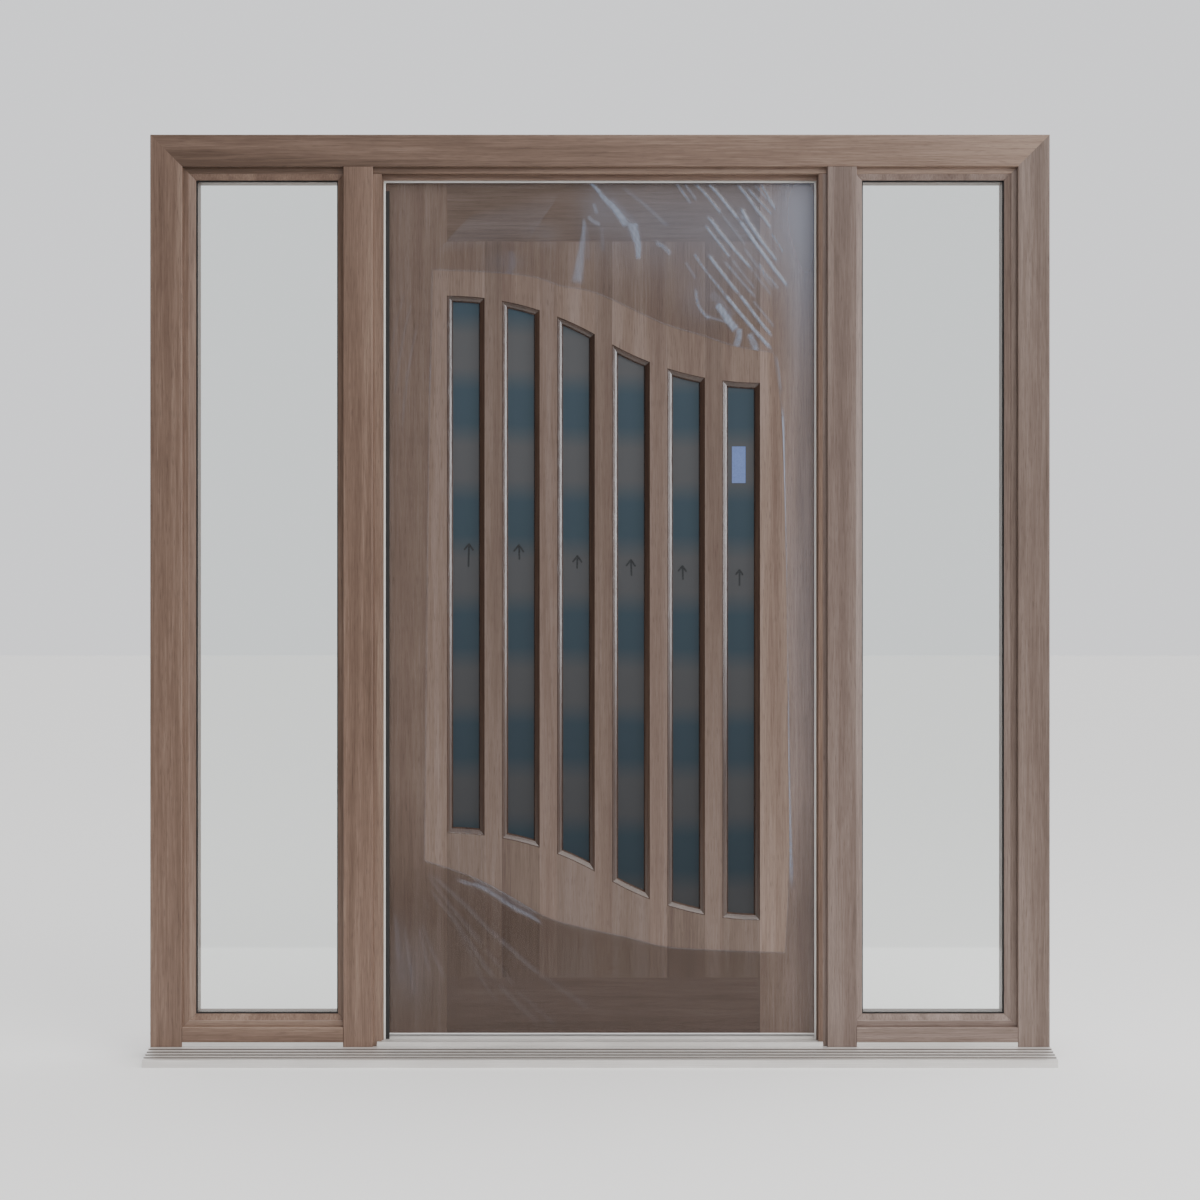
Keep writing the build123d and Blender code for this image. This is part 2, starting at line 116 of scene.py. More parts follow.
def oak(name, grain, seed, colours=BROWN_OAK, boards=None, gloss=0.42, drift=0.0, ior=1.5):
    """Planed oak: soft figure, straight growth lines 3 mm apart and open pores that break the shine.

    A real pore is 0.3 mm wide, too fine to show, so pores are drawn 0.9 mm wide. boards is the width and
    start of the boards across X that each have a tone of their own, and drift how much paler a board gets
    for each metre of its length.
    """
    dark, mid, light = colours
    material, tree, shader, coordinates = new_material(name)
    along = "XYZ".index(grain)
    stretch = [1.0, 1.0, 1.0]
    stretch[along] = ALONG_GRAIN
    place = [0.31 * seed, 0.17 * seed, 0.23 * seed]
    if boards:
        pitch, start = boards
        across = add(tree, "ShaderNodeSeparateXYZ", {"Vector": coordinates}).outputs["X"]
        from_start = add(tree, "ShaderNodeMath", {0: across, 1: start}, operation="SUBTRACT").outputs[0]
        count = add(tree, "ShaderNodeMath", {0: from_start, 1: pitch}, operation="DIVIDE").outputs[0]
        board = add(tree, "ShaderNodeMath", {0: count}, operation="FLOOR").outputs[0]
        tone = add(tree, "ShaderNodeTexWhiteNoise", {"W": board}, noise_dimensions="1D")
        tint = tone.outputs["Color"]
        grain_space = add(tree, "ShaderNodeVectorMath", {0: tint, 1: coordinates}, operation="ADD").outputs[0]
    else:
        grain_space = coordinates
    mapped = add(tree, "ShaderNodeMapping", {"Vector": grain_space, "Location": place, "Scale": stretch})
    vector = mapped.outputs["Vector"]
    figure = add(
        tree, "ShaderNodeTexNoise", {"Vector": vector, "Scale": FIGURE, "Detail": 4.0, "Distortion": 0.6}
    )
    lines = add(
        tree, "ShaderNodeTexNoise", {"Vector": vector, "Scale": GROWTH_LINES, "Detail": 3.0, "Roughness": 0.6}
    )
    pores = add(tree, "ShaderNodeTexNoise", {"Vector": vector, "Scale": PORES, "Detail": 1.0})
    mixed = add(
        tree,
        "ShaderNodeMix",
        {"Factor": 0.42, "A": figure.outputs["Fac"], "B": lines.outputs["Fac"]},
        data_type="FLOAT",
    ).outputs["Result"]
    if boards:
        board_tone = tone.outputs["Value"]
        spread = add(tree, "ShaderNodeMath", {0: board_tone, 1: BOARD_SPREAD}, operation="MULTIPLY")
        added = add(tree, "ShaderNodeMath", {0: mixed, 1: spread.outputs[0]}, operation="ADD").outputs[0]
        mixed = add(tree, "ShaderNodeMath", {0: added, 1: BOARD_SPREAD / 2}, operation="SUBTRACT").outputs[0]
    # painted light: the wood grows paler along its length, towards the light on the right
    if drift:
        length = add(tree, "ShaderNodeSeparateXYZ", {"Vector": coordinates}).outputs[grain]
        paler = add(tree, "ShaderNodeMath", {0: length, 1: drift}, operation="MULTIPLY").outputs[0]
        added = add(tree, "ShaderNodeMath", {0: mixed, 1: paler}, operation="ADD").outputs[0]
        mixed = add(tree, "ShaderNodeMath", {0: added, 1: drift * centre_x}, operation="SUBTRACT").outputs[0]
    colour = add(tree, "ShaderNodeValToRGB", {"Fac": mixed}, [(0.3, dark), (0.5, mid), (0.7, light)])
    pore_mask = add(
        tree, "ShaderNodeMapRange", {"Value": pores.outputs["Fac"], "From Min": 0.60, "From Max": 0.70}
    ).outputs["Result"]
    pore_strength = add(tree, "ShaderNodeMath", {0: pore_mask, 1: 0.5}, operation="MULTIPLY").outputs[0]
    blended = add(
        tree,
        "ShaderNodeMix",
        {"Factor": pore_strength, "A": colour.outputs["Color"], "B": linear(PORE)},
        data_type="RGBA",
    )
    tree.links.new(blended.outputs["Result"], shader.inputs["Base Color"])
    relief = add(tree, "ShaderNodeMath", {0: lines.outputs["Fac"], 1: pore_mask}, operation="SUBTRACT")
    bump = add(tree, "ShaderNodeBump", {"Height": relief.outputs[0], "Strength": 0.22, "Distance": 0.3 * MM})
    tree.links.new(bump.outputs["Normal"], shader.inputs["Normal"])
    sheen = add(
        tree,
        "ShaderNodeMapRange",
        {"Value": lines.outputs["Fac"], "To Min": gloss - 0.06, "To Max": gloss + 0.10},
    )
    tree.links.new(sheen.outputs["Result"], shader.inputs["Roughness"])
    shader.inputs["IOR"].default_value = ior
    return material


def finish_node(name, material):
    """Gives a CAD node its material and leaves its mesh alone."""
    for material_slot in nodes[name].material_slots:
        material_slot.link = "OBJECT"
        material_slot.material = material


for seed, (name, grain, colours, drift) in enumerate(
    [
        ("left_post", "Z", BROWN_OAK, 0),
        ("right_post", "Z", toned(SHEEN_GREY_OAK, 0.97), 0),
        # painted light: the head grows paler towards its right end, nearer the light
        ("head", "X", toned(BROWN_OAK, 0.98), 0.14),
        ("head_lips", "X", BROWN_OAK, 0),
        ("left_mullion", "Z", BROWN_OAK, 0),
        ("right_mullion", "Z", toned(SHEEN_GREY_OAK, 0.94), 0),
        ("left_bottom_rail", "X", BROWN_OAK, 0),
        ("right_bottom_rail", "X", SHEEN_GREY_OAK, 0),
        ("left_stop", "Z", BROWN_OAK, 0),
        ("right_stop", "Z", BROWN_OAK, 0),
        ("top_stop", "X", BROWN_OAK, 0),
        ("left_beads", "Z", BROWN_OAK, 0),
        ("right_beads", "Z", SHEEN_GREY_OAK, 0),
    ]
):
    finish_node(name, oak(f"oak {name}".replace("_", " "), grain, seed + 1, colours, drift=drift))

# Sill, threshold and base strips
# Mill-finish aluminium extrusions, laid under the frame and across the doorway.
# The die leaves fine lines along them and a dull, slightly streaked shine.
ALUMINIUM = "#F2EFEC"
ALUMINIUM_DULL = "#DCD8D4"
# painted shade at the foot of each step of the sill
STEP_SHADE = "#857F7A"
SILL_STEPS = 5


def extruded_aluminium(name, light=ALUMINIUM, dull=ALUMINIUM_DULL, roughness=0.42, steps=None):
    """Mill-finish aluminium: die lines along X blur its reflections, and stains dull it in patches.

    Real die lines are 0.1 mm apart, too fine to show, so they are drawn 0.8 mm apart. steps is the front
    and depth of the treads, whose feet are darkened with painted shade.
    """
    material, tree, shader, coordinates = new_material(name)
    die = add(tree, "ShaderNodeMapping", {"Vector": coordinates, "Scale": (0.004, 1.0, 1.0)})
    lines = add(tree, "ShaderNodeTexNoise", {"Vector": die.outputs["Vector"], "Scale": 1250.0, "Detail": 2.0})
    cloud = add(tree, "ShaderNodeMapping", {"Vector": coordinates, "Scale": (0.3, 1.0, 1.0)})
    stain = add(tree, "ShaderNodeTexNoise", {"Vector": cloud.outputs["Vector"], "Scale": 14.0, "Detail": 5.0})
    mixed = add(
        tree,
        "ShaderNodeMix",
        {"Factor": 0.5, "A": lines.outputs["Fac"], "B": stain.outputs["Fac"]},
        data_type="FLOAT",
    ).outputs["Result"]
    colour = add(tree, "ShaderNodeValToRGB", {"Fac": mixed}, [(0.38, dull), (0.62, light)]).outputs["Color"]
    # painted shade: each tread is darkened where it meets the next, standing in for the shade at the foot of
    # each riser
    if steps:
        front, tread = steps
        depth = add(tree, "ShaderNodeSeparateXYZ", {"Vector": coordinates}).outputs["Y"]
        from_front = add(tree, "ShaderNodeMath", {0: depth, 1: front}, operation="SUBTRACT").outputs[0]
        treads = add(tree, "ShaderNodeMath", {0: from_front, 1: tread}, operation="DIVIDE").outputs[0]
        # the front face gets no painted shade, as the middle of a tread gets none
        past_front = add(tree, "ShaderNodeMath", {0: treads, 1: 0.5}, operation="MAXIMUM").outputs[0]
        along_tread = add(tree, "ShaderNodeMath", {0: past_front}, operation="FRACT").outputs[0]
        step_shade = add(
            tree,
            "ShaderNodeValToRGB",
            {"Fac": along_tread},
            [(0.0, STEP_SHADE), (0.03, "#FFFFFF"), (0.9, "#FFFFFF"), (0.98, STEP_SHADE)],
        ).outputs["Color"]
        colour = add(tree, "ShaderNodeVectorMath", {0: colour, 1: step_shade}, operation="MULTIPLY").outputs[0]
    tree.links.new(colour, shader.inputs["Base Color"])
    rough = add(
        tree,
        "ShaderNodeMapRange",
        {
            "Value": mixed,
            "From Min": 0.3,
            "From Max": 0.7,
            "To Min": roughness + 0.08,
            "To Max": roughness - 0.06,
        },
    )
    tree.links.new(rough.outputs["Result"], shader.inputs["Roughness"])
    bump = add(
        tree, "ShaderNodeBump", {"Height": lines.outputs["Fac"], "Strength": 0.15, "Distance": 0.2 * MM}
    )
    tree.links.new(bump.outputs["Normal"], shader.inputs["Normal"])
    shader.inputs["Metallic"].default_value = 0.7
    return material


mill_aluminium = extruded_aluminium("mill-finish aluminium")
for name in ("threshold", "left_base_strip", "right_base_strip"):
    finish_node(name, mill_aluminium)
sill_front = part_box("sill")[0][1]
sill_steps = (sill_front, (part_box("head")[0][1] - sill_front) / SILL_STEPS)
finish_node("sill", extruded_aluminium("mill-finish aluminium, shaded in its steps", steps=sill_steps))

# Sidelight glazing
# Each sidelight has a clear sealed unit of two 4 mm float panes on an aluminium spacer bar.
# It is bedded on a black EPDM gasket behind the mitred beads.
FLOAT_TINT = "#FCFEFD"
EPDM = "#161616"
SPACER_LIGHT, SPACER_DULL = "#8D9092", "#6E7173"
GLASS_IOR = 1.52


def clear_glass(name):
    """Float glass, clear with a trace of green; faint waviness bends what it reflects."""
    material, tree, shader, coordinates = new_material(name)
    wave = add(tree, "ShaderNodeTexNoise", {"Vector": coordinates, "Scale": 3.0, "Detail": 1.0})
    bump = add(tree, "ShaderNodeBump", {"Height": wave.outputs["Fac"], "Strength": 0.02, "Distance": 1 * MM})
    tree.links.new(bump.outputs["Normal"], shader.inputs["Normal"])
    shader.inputs["Base Color"].default_value = linear(FLOAT_TINT)
    shader.inputs["Transmission Weight"].default_value = 1.0
    shader.inputs["Roughness"].default_value = 0.0
    shader.inputs["IOR"].default_value = GLASS_IOR
    return material


def rubber(name, colour, roughness=0.62):
    """Extruded rubber seal: matt, with a fine skin and dust that greys it in patches."""
    material, tree, shader, coordinates = new_material(name)
    skin = add(tree, "ShaderNodeTexNoise", {"Vector": coordinates, "Scale": 900.0, "Detail": 2.0})
    dust = add(tree, "ShaderNodeTexNoise", {"Vector": coordinates, "Scale": 9.0, "Detail": 4.0})
    dusty = tuple(0.03 + 0.9 * c for c in linear(colour))
    base = add(
        tree,
        "ShaderNodeMix",
        {"Factor": dust.outputs["Fac"], "A": linear(colour), "B": dusty},
        data_type="RGBA",
    )
    tree.links.new(base.outputs["Result"], shader.inputs["Base Color"])
    bump = add(tree, "ShaderNodeBump", {"Height": skin.outputs["Fac"], "Strength": 0.2, "Distance": 0.1 * MM})
    tree.links.new(bump.outputs["Normal"], shader.inputs["Normal"])
    shader.inputs["Roughness"].default_value = roughness
    return material


float_glass = clear_glass("clear float glass")
black_epdm = rubber("black EPDM", EPDM)
spacer_metal = extruded_aluminium("spacer bar aluminium", SPACER_LIGHT, SPACER_DULL, 0.45)
for side in ("left", "right"):
    finish_node(f"{side}_panes", float_glass)
    finish_node(f"{side}_gasket", black_epdm)
    finish_node(f"{side}_spacer", spacer_metal)

# Door seals
# A pale TPE seal is pushed into the stops round the doorway, and another closes the foot of the leaf;
# their near-white is painted light, standing in for the bright gap round the leaf.
# A flat black flap of EPDM lies beside it on the lock side; it is painted shade, a dark piece put where the
# gap there is in shade.
# painted light: the seals are near white, standing in for the bright gap round the leaf
GAP_LIGHT_TPE = "#F7F6F2"
gap_light_seal = rubber("pale TPE seal, painted gap light", GAP_LIGHT_TPE, 0.5)
finish_node("door_seal", gap_light_seal)
finish_node("bottom_seal", gap_light_seal)
# painted shade: the black flap on the lock side stands in for the shade in the gap there
finish_node("latch_seal", black_epdm)

# Door leaf
# Stiles, rails and muntins frame six slots, and staves of mixed tone fill above and below each slot.
# All are planed flush and oiled like the frame.
LEAF_OAK = ("#69544A", "#816D61", "#928077")
# painted shade: the slot beads take a far darker oak than the leaf, standing in for the shade on their right
# and top sides
SHADED_BEAD_OAK = ("#34251E", "#463329", "#574337")

for seed, (name, grain, share) in enumerate(
    [
        ("lock_stile", "Z", 0.98),
        # painted light: the hinge stile is made paler, offsetting the mullion's shadow on it
        ("hinge_stile", "Z", 1.08),
        # painted shade: the top rail is darker, as in the shade under the head
        ("top_rail", "X", 0.87),
        # painted shade: the bottom rail is darker, towards the foot
        ("bottom_rail", "X", 0.82),
        ("muntin_1", "Z", 0.90),
        ("muntin_2", "Z", 0.93),
        ("muntin_3", "Z", 0.91),
        ("muntin_4", "Z", 0.94),
        ("muntin_5", "Z", 0.91),
    ]
):
    finish_node(name, oak(f"oak {name}".replace("_", " "), grain, seed + 31, toned(LEAF_OAK, share)))
muntin_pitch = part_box("muntin_2")[0][0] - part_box("muntin_1")[0][0]
stave_boards = (muntin_pitch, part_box("upper_staves")[0][0])
# painted shade: the lower staves are darker than the upper ones, towards the foot
for seed, name, share in ((51, "upper_staves", 0.97), (57, "lower_staves", 0.87)):
    finish_node(name, oak(f"oak {name}".replace("_", " "), "Z", seed, toned(LEAF_OAK, share), stave_boards))
for seed, name in ((61, "outer_slot_beads"), (67, "inner_slot_beads")):
    finish_node(name, oak(f"oak {name}".replace("_", " "), "Z", seed, SHADED_BEAD_OAK, gloss=0.2, ior=1.6))

# Leaf glazing
# Six sealed units fill the slots. The outer panes are satin-etched and look blue-grey from outside,
# in level bands, darkened towards the foot by painted shade for the dark ground they reflect; the inner panes
# are clear.
SATIN_TEAL = "#3E4E58"
SATIN_GREY = "#58595B"
FOOT_SHADE = 0.46
FOOT_HEIGHT, SHADE_TOP = 0.4, 1.6
BAND_PITCH = 0.263
BAND_HEIGHT = 1.447


def satin_glass(name):
    """Satin-etched glass: a dark blue-grey in soft level bands 263 mm apart, its shine a little blurred.

    The etch's grain is far finer than shows, so it is drawn 0.7 mm wide.
    """
    material, tree, shader, coordinates = new_material(name)
    lifted = add(tree, "ShaderNodeMapping", {"Vector": coordinates, "Location": (0, 0, -BAND_HEIGHT)})
    waves = add(
        tree,
        "ShaderNodeTexWave",
        {
            "Vector": lifted.outputs["Vector"],
            "Scale": pi / 10 / BAND_PITCH,  # Blender's bands are pi / 10 / scale metres apart
            "Distortion": 1.2,
            "Detail": 1.0,
            "Detail Scale": 0.6,
            "Phase Offset": pi / 2,
        },
        bands_direction="Z",
    )
    banded = add(
        tree, "ShaderNodeValToRGB", {"Fac": waves.outputs["Fac"]}, [(0.2, SATIN_GREY), (0.8, SATIN_TEAL)]
    ).outputs["Color"]
    # painted shade: the glass darkens towards the foot, standing in for the dark ground it reflects
    height = add(tree, "ShaderNodeSeparateXYZ", {"Vector": coordinates}).outputs["Z"]
    shade = add(
        tree,
        "ShaderNodeMapRange",
        {
            "Value": height,
            "From Min": FOOT_HEIGHT,
            "From Max": SHADE_TOP,
            "To Min": FOOT_SHADE,
            "To Max": 1.0,
        },
    ).outputs["Result"]
    darker = add(tree, "ShaderNodeVectorMath", {0: banded, "Scale": shade}, operation="SCALE")
    tree.links.new(darker.outputs["Vector"], shader.inputs["Base Color"])
    etch = add(tree, "ShaderNodeTexNoise", {"Vector": coordinates, "Scale": 1500.0, "Detail": 2.0})
    bump = add(
        tree, "ShaderNodeBump", {"Height": etch.outputs["Fac"], "Strength": 0.05, "Distance": 0.05 * MM}
    )
    tree.links.new(bump.outputs["Normal"], shader.inputs["Normal"])
    shader.inputs["Roughness"].default_value = 0.12
    shader.inputs["IOR"].default_value = GLASS_IOR
    return material


finish_node("leaf_outer_panes", satin_glass("satin-etched glass"))
finish_node("leaf_inner_panes", float_glass)
finish_node("leaf_spacers", spacer_metal)

# Hinges
# Three steel butt hinges hang the leaf; each pin turns in five knuckles.
# Their plates are brushed: real lines are 0.1 mm apart, and are drawn 0.4 mm apart to show.
STEEL_LIGHT, STEEL_DARK = "#C6C7C8", "#A9AAAB"
steel, steel_tree, steel_shader, steel_place = new_material("brushed steel")
brush = add(steel_tree, "ShaderNodeMapping", {"Vector": steel_place, "Scale": (1.0, 1.0, 0.02)})
brush_lines = add(steel_tree, "ShaderNodeTexNoise", {"Vector": brush.outputs["Vector"], "Scale": 2500.0})
steel_colour = add(
    steel_tree,
    "ShaderNodeValToRGB",
    {"Fac": brush_lines.outputs["Fac"]},
    [(0.3, STEEL_DARK), (0.7, STEEL_LIGHT)],
)
steel_tree.links.new(steel_colour.outputs["Color"], steel_shader.inputs["Base Color"])
steel_shader.inputs["Metallic"].default_value = 1.0
steel_shader.inputs["Roughness"].default_value = 0.3
finish_node("frame_hinge_plates", steel)
finish_node("door_hinge_plates", steel)

# Glazier's marks
# An arrow on each pane, drawn with a dark marker, shows which way up the unit goes.
# The last pane keeps a blank paper label.

# the photograph's camera: its height and distance in metres, its focal length and frame in pixels
CAMERA_HEIGHT = 1.058
CAMERA_DISTANCE = 5.5
FOCAL_PIXELS = 2324
FRAME_PIXELS = 1200
front_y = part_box("head")[0][1]
INK, INK_THIN = "#101214", "#2E3236"
INK_THICK = 0.15 * MM
INK_WIDTH = 4.2 * MM
# each arrow by its shaft's foot, its tip and the half width of its head, in the photograph's pixels
ARROWS = [
    ((468.5, 566), (469.0, 544), 4.5),
    ((519.5, 559), (519.0, 545), 5.0),
    ((577.0, 568), (577.5, 556), 4.5),
    ((631.5, 575), (631.0, 560), 4.5),
    ((683.0, 579), (682.5, 566), 4.0),
    ((739.5, 585), (739.5, 570), 3.5),
]
# the label's left, top, right and bottom in the photograph's pixels, and its paper
LABEL_PIXELS = (732.0, 446.5, 745.5, 483.0)
LABEL_LIGHT, LABEL_DARK = "#7388BC", "#667AAD"
LABEL_THICK = 0.2 * MM
LABEL_CURL = 0.8 * MM
LABEL_COLUMNS, LABEL_ROWS = 12, 30


def behind_pixel(x, y, depth):
    """The point at this depth that the photograph shows at pixel (x, y)."""
    scale = (CAMERA_DISTANCE + depth - front_y) / FOCAL_PIXELS
    return (
        centre_x + (x - FRAME_PIXELS / 2) * scale,
        depth,
        CAMERA_HEIGHT - (y - FRAME_PIXELS / 2) * scale,
    )


def add_piece(name, vertices, faces, material, body):
    """A new mesh piece that rides on a body."""
    mesh = bpy.data.meshes.new(name)
    mesh.from_pydata(vertices, [], faces)
    mesh.materials.append(material)
    mesh.validate()
    piece = bpy.data.objects.new(name, mesh)
    bpy.context.scene.collection.objects.link(piece)
    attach(piece, body)
    return piece


def stroke(start, end, width, thick):
    """A flat bar with pointed-round ends between two points of a pane, standing off its face towards -Y."""
    (x0, face_y, z0), (x1, _, z1) = start, end
    run = ((x1 - x0) ** 2 + (z1 - z0) ** 2) ** 0.5
    along = ((x1 - x0) / run, (z1 - z0) / run)
    side = (-along[1], along[0])
    outline = []
    for end_x, end_z, first_angle in ((x1, z1, -90), (x0, z0, 90)):
        for step in range(7):
            angle = radians(first_angle + 30 * step)
            ahead, aside = cos(angle) * width / 2, sin(angle) * width / 2
            x = end_x + ahead * along[0] + aside * side[0]
            z = end_z + ahead * along[1] + aside * side[1]
            outline.append((x, z))
    count = len(outline)
    vertices = [(x, face_y, z) for x, z in outline] + [(x, face_y - thick, z) for x, z in outline]
    faces = [tuple(range(count)), tuple(range(2 * count - 1, count - 1, -1))]
    faces += [(i, i + count, (i + 1) % count + count, (i + 1) % count) for i in range(count)]
    return vertices, faces


pane_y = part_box("leaf_outer_panes")[0][1]
vertices, faces = [], []
for foot, tip, half_head in ARROWS:
    (x_foot, _, z_foot), (x_tip, _, z_tip) = behind_pixel(*foot, pane_y), behind_pixel(*tip, pane_y)
    reach = half_head * (CAMERA_DISTANCE + pane_y - front_y) / FOCAL_PIXELS
    strokes = [
        ((x_foot, pane_y, z_foot), (x_tip, pane_y, z_tip)),
        ((x_tip, pane_y - INK_THICK, z_tip), (x_tip - reach, pane_y, z_tip - 1.2 * reach)),
        ((x_tip, pane_y - 2 * INK_THICK, z_tip), (x_tip + 0.9 * reach, pane_y, z_tip - 1.3 * reach)),
    ]
    for start, end in strokes:
        new_vertices, new_faces = stroke(start, end, INK_WIDTH, INK_THICK)
        faces += [tuple(i + len(vertices) for i in face) for face in new_faces]
        vertices += new_vertices
ink, ink_tree, ink_shader, ink_place = new_material("marker ink")
ink_cover = add(ink_tree, "ShaderNodeTexNoise", {"Vector": ink_place, "Scale": 420.0, "Detail": 3.0})
ink_colour = add(
    ink_tree, "ShaderNodeValToRGB", {"Fac": ink_cover.outputs["Fac"]}, [(0.35, INK), (0.7, INK_THIN)]
)
ink_tree.links.new(ink_colour.outputs["Color"], ink_shader.inputs["Base Color"])
ink_shader.inputs["Roughness"].default_value = 0.6
add_piece("glazing_arrows", vertices, faces, ink, "door")

left, top, right, bottom = LABEL_PIXELS
x_left, _, z_top = behind_pixel(left, top, pane_y)
x_right, _, z_bottom = behind_pixel(right, bottom, pane_y)
paper, paper_tree, paper_shader, paper_place = new_material("blue-white label paper")
fibres = add(paper_tree, "ShaderNodeTexNoise", {"Vector": paper_place, "Scale": 260.0, "Detail": 4.0})
paper_colour = add(
    paper_tree, "ShaderNodeValToRGB", {"Fac": fibres.outputs["Fac"]}, [(0.3, LABEL_DARK), (0.7, LABEL_LIGHT)]
)
paper_tree.links.new(paper_colour.outputs["Color"], paper_shader.inputs["Base Color"])
paper_shader.inputs["Roughness"].default_value = 0.55
vertices, faces = [], []
for layer in (0, 1):
    for row in range(LABEL_ROWS + 1):
        for column in range(LABEL_COLUMNS + 1):
            u, v = column / LABEL_COLUMNS, row / LABEL_ROWS
            curl = LABEL_CURL * (max(0, 2 * u - 1) * max(0, 2 * v - 1)) ** 3
            x = x_left + u * (x_right - x_left)
            z = z_bottom + v * (z_top - z_bottom)
            vertices.append((x, pane_y - 0.02 * MM - curl - layer * LABEL_THICK, z))
per_row = LABEL_COLUMNS + 1
per_layer = per_row * (LABEL_ROWS + 1)
for row in range(LABEL_ROWS):
    for column in range(LABEL_COLUMNS):
        a = row * per_row + column
        b, c, d = a + 1, a + per_row + 1, a + per_row
        faces += [(a, d, c, b), (a + per_layer, b + per_layer, c + per_layer, d + per_layer)]
# the rim runs along the foot, up the right side, back along the top and down the left side
rim = list(range(LABEL_COLUMNS))
rim += [LABEL_COLUMNS + per_row * i for i in range(LABEL_ROWS)]
rim += [LABEL_ROWS * per_row + LABEL_COLUMNS - i for i in range(LABEL_COLUMNS)]
rim += [(LABEL_ROWS - i) * per_row for i in range(LABEL_ROWS)]
faces += [(i, j, j + per_layer, i + per_layer) for i, j in zip(rim, rim[1:] + rim[:1])]
add_piece("blank_label", vertices, faces, paper, "door")

# Shrink film
# The maker's clear polyethylene film still covers the outside of the leaf, heat-shrunk tight, with a
# window cut out round the slots. Where it has let go of the wood it stands in ridges and turns milky; the
# blue-white on the ridges and cut edge is partly that haze and partly painted highlight, the sky's reflection.
FILM_CLEAR = "#46342A"
FILM_MILK_SHEEN = "#B4C0D6"
FILM_GAP = 0.5 * MM
FILM_MARGIN = 1.0 * MM
# how much of the wood the clear film hides: least, most, and what is added at the foot as painted shade
CLEAR_LEAST, CLEAR_MOST, FOOT_SHADE_COVER = 0.10, 0.20, 0.24
FOOT_LOW, FOOT_HIGH = 0.3, 0.6
# the share of that cover left over the hinge stile, and how fast it fades there; less cover is painted light
# that lightens the mullion's shadow on the stile
STILE_SHARE, STILE_FADE = 0.15, 60 * MM
MILK_SHEEN_COVER = 0.78
# the film's slack between its ridges, its lifted cut edge whitened by a painted highlight, and its tight outer
# edge
SLACK_HEIGHT = 0.8 * MM
CUT_HEIGHT, CUT_WIDTH = 0.9 * MM, 5 * MM
CUT_MILK_SHEEN, CUT_SHEEN_WIDTH = 0.14, 2 * MM
TIGHT_EDGE = 25 * MM
# the cut's four sides in the photograph's pixels, each from its first corner on clockwise
WINDOW_TOP = [
    (433, 270), (503, 273), (540, 278), (560, 287), (587, 290), (613, 300), (647, 317), (670, 327),
    (707, 337), (733, 347), (773, 353),
]
WINDOW_RIGHT = [(773, 353), (779, 390), (783, 430), (787, 600), (788, 750), (790, 860), (785, 952)]
WINDOW_BOTTOM = [
    (785, 952), (713, 950), (663, 947), (633, 938), (590, 929), (548, 919), (516, 899), (480, 879),
    (450, 868), (425, 860),
]
WINDOW_LEFT = [(425, 860), (427, 650), (429, 450), (433, 270)]
